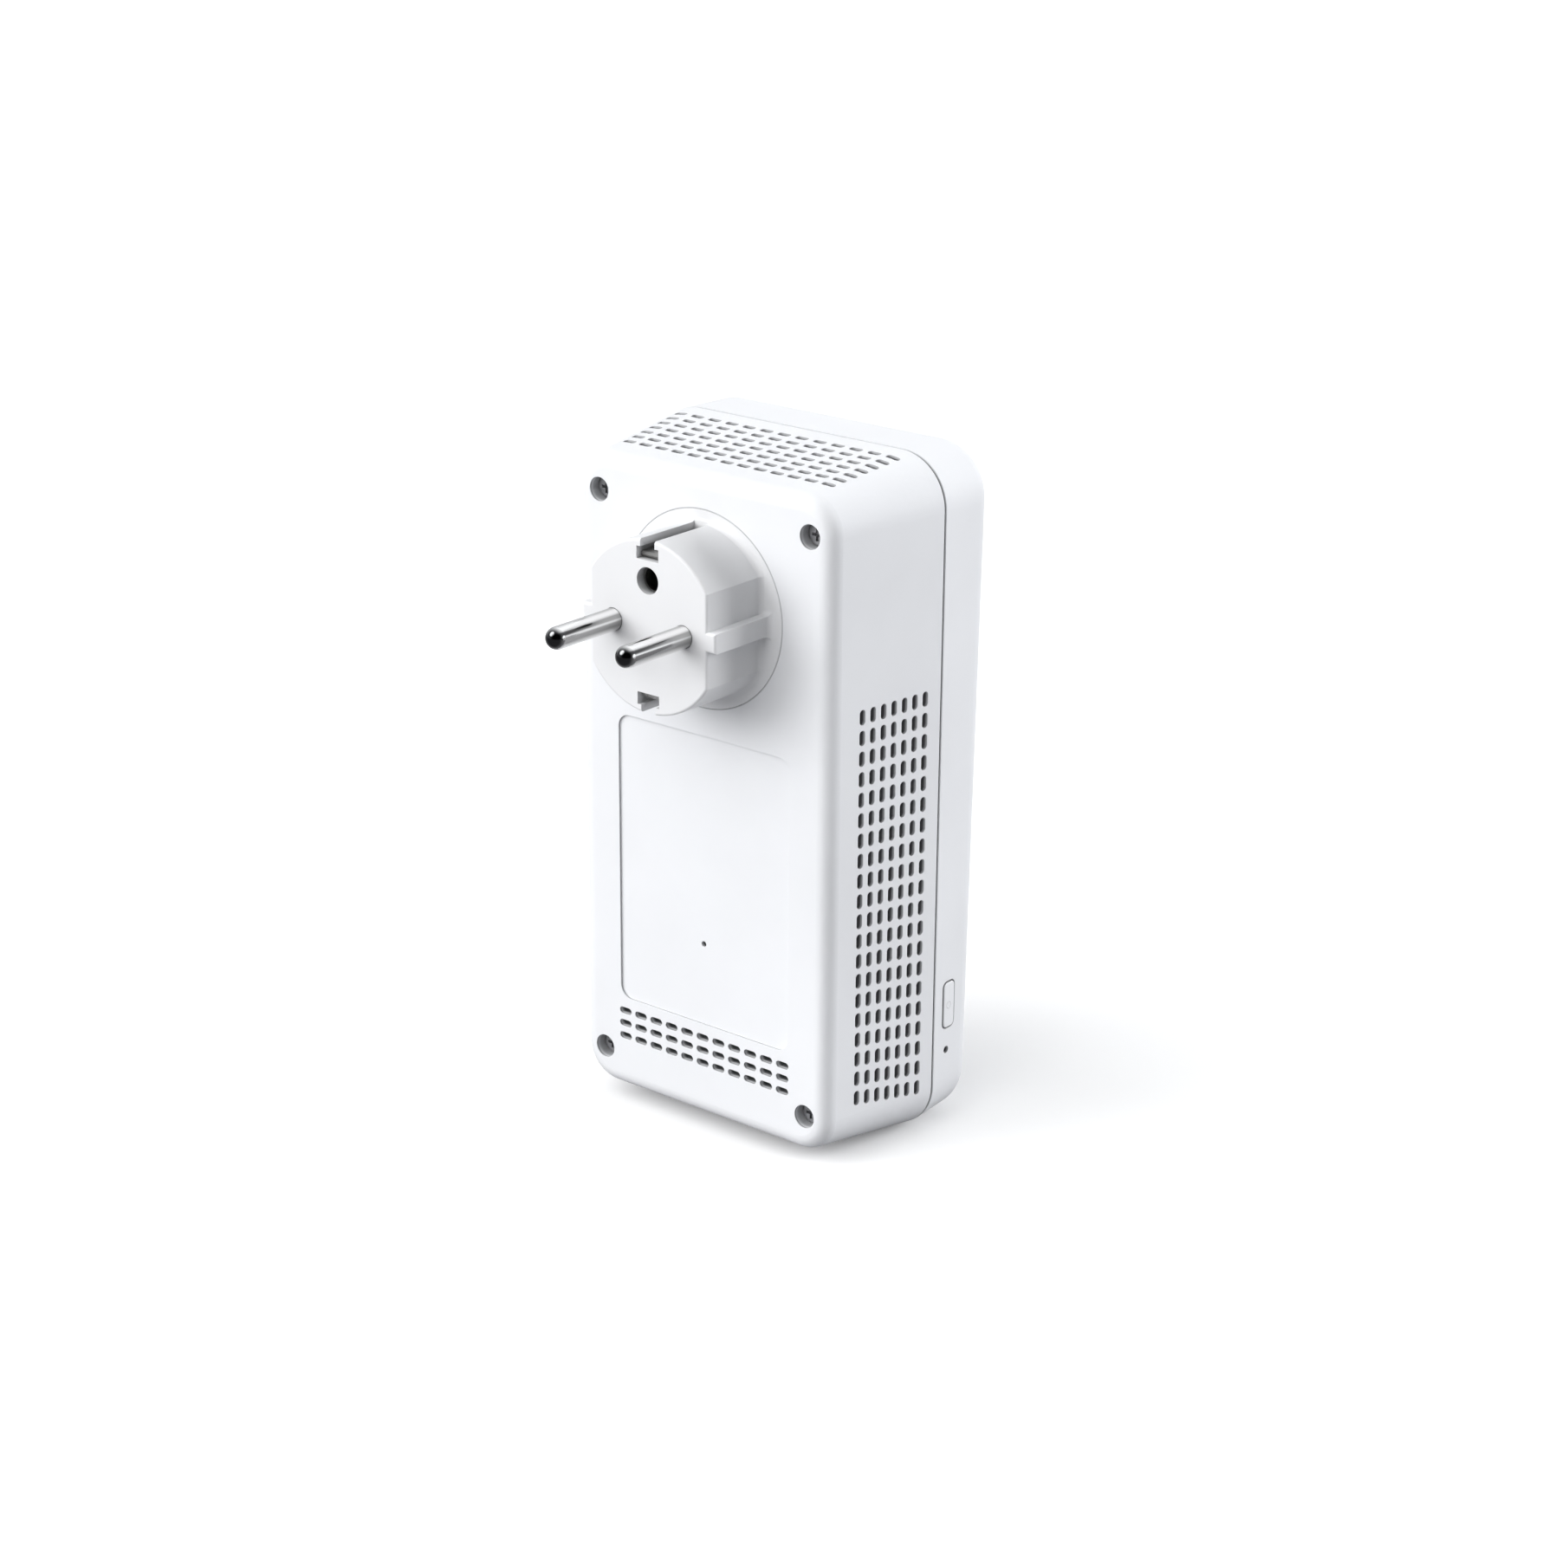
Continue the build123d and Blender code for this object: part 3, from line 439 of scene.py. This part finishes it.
def wound(name, colour):
    """Close-wound enamelled wire."""
    m = Material(name, bevel_mm=0.1)
    turns = m.wave(radians_per_mm=2.6, axis="X", distortion=0.4)
    cloud = m.noise(per_mm=0.3)
    wire = m.mix(turns, scaled(colour, 0.3), colour)
    m.set({
        "Base Color": m.mottle(cloud, wire, scaled(colour, 1.25)),
        "Metallic": 0.7,
        "Roughness": m.remap(turns, span=(0.0, 1.0), to=(0.45, 0.25)),
    })
    m.bump(turns, depth_mm=0.12, strength=0.9)
    return m.data


def clear(name, colour, rough, frost_depth=0.004):
    """Clear moulded plastic or glass with a frosted grain."""
    m = Material(name, bevel_mm=0.08)
    frost = m.noise(per_mm=5.0, rough=0.6)
    cloud = m.noise(per_mm=0.2)
    m.set({
        "Base Color": m.mottle(cloud, scaled(colour, 0.95), colour),
        "Transmission Weight": 0.75,
        "IOR": 1.49,
        "Roughness": m.remap(frost, MIDDLE, to=(rough - 0.06, rough + 0.06)),
    })
    m.bump(frost, frost_depth, strength=0.6)
    return m.data


WHITE = (0.765, 0.775, 0.795)
CAP = dict(base=(0.79, 0.80, 0.82), rough=0.33, grain_mm=0.14, grain_depth=0.003,
           bevel_mm=0.1, specular=0.45, shade=shade_button, deep=0.12)
MATERIALS = {
    "shell": white_plastic("white_shell_moulding", WHITE, rough=0.42, shade=shade_rear),
    "cover": white_plastic("white_cover_moulding", WHITE, rough=0.40, shade=shade_front),
    "plug": white_plastic("white_plug_moulding", (0.755, 0.76, 0.772), rough=0.36,
                          grain_mm=0.16, grain_depth=0.004, bevel_mm=0.12,
                          shade=shade_plug, deep=0.3),
    "button": white_plastic("white_button_moulding", **CAP),
    "led_cap": white_plastic("white_cap_moulding", ring=True, **CAP),
    "pin": plated_pin("nickel_plate"),
    # one spring metal in two shades: the darker copy holds painted shade, also on the earth socket
    # and bridge, the brighter copy a painted highlight
    "contact": steel("spring_strip", (0.40, 0.395, 0.38), rough=0.34),
    "contact_painted_highlight": steel("spring_strip_painted_highlight", (0.78, 0.77, 0.75), rough=0.22),
    "screw": steel("zinc_plate", (0.72, 0.72, 0.73), rough=0.40, stretch=(4, 4, 4)),
    "board": board("laminate_green", (0.02, 0.11, 0.05)),
    "antenna": board("laminate_antenna", (0.015, 0.05, 0.03)),
    "black": moulded("black_moulding", (0.018, 0.018, 0.02), rough=0.45),
    "grey": moulded("grey_moulding", (0.30, 0.30, 0.32)),
    "chip": moulded("epoxy_black", (0.022, 0.022, 0.024), rough=0.6, specular=0.3,
                    grain_mm=0.12, grain_depth=0.012),
    "ferrite": moulded("ferrite_grey", (0.05, 0.05, 0.055), rough=0.55, specular=0.45,
                       grain_mm=0.25, grain_depth=0.02),
    "film": moulded("film_yellow", (0.62, 0.43, 0.06), rough=0.35, specular=0.5,
                    grain_mm=0.5, grain_depth=0.006),
    "blue": moulded("dipped_blue", (0.03, 0.10, 0.36), rough=0.3, specular=0.5,
                    grain_mm=0.8, grain_depth=0.02),
    "sleeve": moulded("shrink_sleeve", (0.03, 0.035, 0.06), rough=0.28, specular=0.5,
                      grain_mm=0.6, grain_depth=0.006),
    "copper": wound("enamelled_wire", (0.48, 0.2, 0.07)),
    "pad": moulded("thermal_pad_grey", (0.35, 0.40, 0.46), rough=0.8, specular=0.2,
                   grain_mm=0.3, grain_depth=0.03),
    "sink": steel("extruded_aluminium", (0.72, 0.72, 0.73), rough=0.36, stretch=(1, 1, 14)),
    "tin": steel("tin_plate", (0.66, 0.67, 0.67), rough=0.28, stretch=(8, 1, 1)),
    "gold": steel("gold_flash", (0.85, 0.62, 0.24), rough=0.22, stretch=(1, 1, 10)),
    "sheet": clear("translucent_film", (0.82, 0.81, 0.74), rough=0.4, frost_depth=0.01),
    "lens": clear("frosted_lens", (0.90, 0.92, 0.93), rough=0.3),
    "glass": clear("fuse_glass", (0.92, 0.95, 0.94), rough=0.12, frost_depth=0.002),
    "led": clear("led_package", (0.86, 0.88, 0.7), rough=0.2),
    "jacket": moulded("cable_jacket", (0.02, 0.02, 0.02), rough=0.55, specular=0.3,
                      grain_mm=0.3, grain_depth=0.01),
}
PARTS = {
    "rear_shell": "shell", "front_cover": "cover", "plug_body": "plug",
    "plug_back_plate": "grey", "line_pin": "pin", "neutral_pin": "pin",
    "earth_clip_top": "contact", "earth_clip_bottom": "contact_painted_highlight",
    "earth_socket": "contact", "earth_bridge": "contact", "rear_screws": "screw",
    "plug_screws": "screw", "board_screws": "screw", "power_board": "board",
    "main_board": "board", "mains_fuse": "glass", "varistor": "blue", "x_capacitor": "film",
    "choke_core": "ferrite", "choke_windings": "copper", "bridge_rectifier": "chip",
    "bulk_capacitors": "sleeve", "transformer_core": "ferrite", "transformer_bobbin": "film",
    "optocoupler": "chip", "output_capacitor": "sleeve", "coupling_transformer": "grey",
    "board_connector": "black", "insulation_sheet": "sheet", "processor_chip": "chip",
    "thermal_pad": "pad", "heat_sink": "sink", "powerline_chip": "chip",
    "memory_chip": "chip", "wifi_chip": "chip", "rf_shield": "tin",
    "ethernet_jacks": "black", "jack_contacts": "gold", "network_transformers": "chip",
    "status_leds": "led", "light_guide": "lens", "antennas": "antenna",
    "antenna_cables": "jacket", "led_button": "led_cap", "pair_button": "button",
    "wifi_button": "button", "led_plunger": "black", "pair_plunger": "black",
    "wifi_plunger": "black", "reset_plunger": "black", "switch_bodies": "grey",
}
for name, obj in nodes.items():
    obj.data.materials.clear()
    obj.data.materials.append(MATERIALS[PARTS[name]])

scene = bpy.context.scene


# -------------------------------------------------------------------- floor
def floor_white():
    """Looks white to the camera, but throws back no more light than a grey table."""
    m = Material("floor_white")
    pale = m.mottle(m.noise(per_mm=0.004), (0.985, 0.985, 0.99), (1.0, 1.0, 1.0))
    seen = m.light_path("Is Camera Ray")
    m.set({
        "Base Color": m.mix(seen, (0.30, 0.30, 0.31), pale),
        "Emission Color": (1.0, 1.0, 1.0, 1.0),
        "Emission Strength": m.mul(seen, 0.06),
        "Roughness": 1.0,
        "Specular IOR Level": 0.0,
    })
    return m.data


def make_floor(half, z):
    mesh = bpy.data.meshes.new("floor")
    corners = [(-half, -half, z), (half, -half, z), (half, half, z), (-half, half, z)]
    mesh.from_pydata(corners, [], [(0, 1, 2, 3)])
    mesh.materials.append(floor_white())
    floor = bpy.data.objects.new("floor", mesh)
    scene.collection.objects.link(floor)
    return floor


make_floor(half=12.0, z=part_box("front_cover")[0].z)

# ------------------------------------------------------------------- camera
CAMERA_PLACE = (-0.44172602, 0.50033230, 0.20868068)
CAMERA_RIGHT = Vector((-0.77524596, -0.63161927, 0.00712704))
CAMERA_UP = Vector((0.22106737, -0.26073284, 0.93975933))
CAMERA_FORWARD = Vector((0.59171185, -0.73012018, -0.3417625))

camera_data = bpy.data.cameras.new("camera")
camera_data.sensor_width = 36.0
camera_data.sensor_fit = "HORIZONTAL"
camera_data.lens = 78.1885305
camera_data.clip_start = 0.01
camera_data.clip_end = 60.0
camera = bpy.data.objects.new("camera", camera_data)
scene.collection.objects.link(camera)
turned = Matrix((CAMERA_RIGHT, CAMERA_UP, -CAMERA_FORWARD)).transposed().to_4x4()
camera.matrix_world = Matrix.Translation(CAMERA_PLACE) @ turned
scene.camera = camera


# ------------------------------------------------------------------- lights
def sun(name, towards, level, angle, tint=(1.0, 1.0, 1.0)):
    """Very large distant soft box: level is the radiance it adds to a white card facing it."""
    data = bpy.data.lights.new(name, "SUN")
    data.energy = level * math.pi
    data.angle = math.radians(angle)
    data.color = tint
    lamp = bpy.data.objects.new(name, data)
    # polished metal mirrors the painted studio, not this lamp
    lamp.visible_glossy = False
    beam = -Vector(towards).normalized()
    lamp.rotation_euler = beam.to_track_quat("-Z", "Y").to_euler()
    scene.collection.objects.link(lamp)


sun("key", towards=(0.55, 0.75, 0.36), level=0.40, angle=34.0)
sun("key_wide", towards=(0.30, 0.80, 0.52), level=1.04, angle=90.0)
sun("side", towards=(-0.66, -0.70, 0.27), level=1.12, angle=40.0, tint=(0.985, 0.99, 1.0))


def studio_world():
    """A cool surround that darkens towards the camera's side, more so in reflections."""
    world = bpy.data.worlds.new("studio")
    scene.world = world
    world.use_nodes = True
    w = Shader(world.node_tree)
    direction = w.node("ShaderNodeTexCoord").outputs["Generated"]
    facing = w.dot(direction, (-0.60, 0.78, 0.18))
    diffuse = w.ease(facing, span=(0.15, 0.85), to=(0.33, 0.06))
    glossy = w.ease(facing, span=(0.35, 0.8), to=(1.05, 0.03))
    inputs = {0: w.light_path("Is Glossy Ray"), 2: diffuse, 3: glossy}
    strength = w.node("ShaderNodeMix", inputs).outputs[0]
    w.feed(w.nodes["Background"], {"Color": (0.955, 0.975, 1.0, 1), "Strength": strength})


studio_world()

scene.view_settings.view_transform = "Standard"
scene.view_settings.look = "None"
scene.view_settings.exposure = 0.0
scene.view_settings.gamma = 1.0
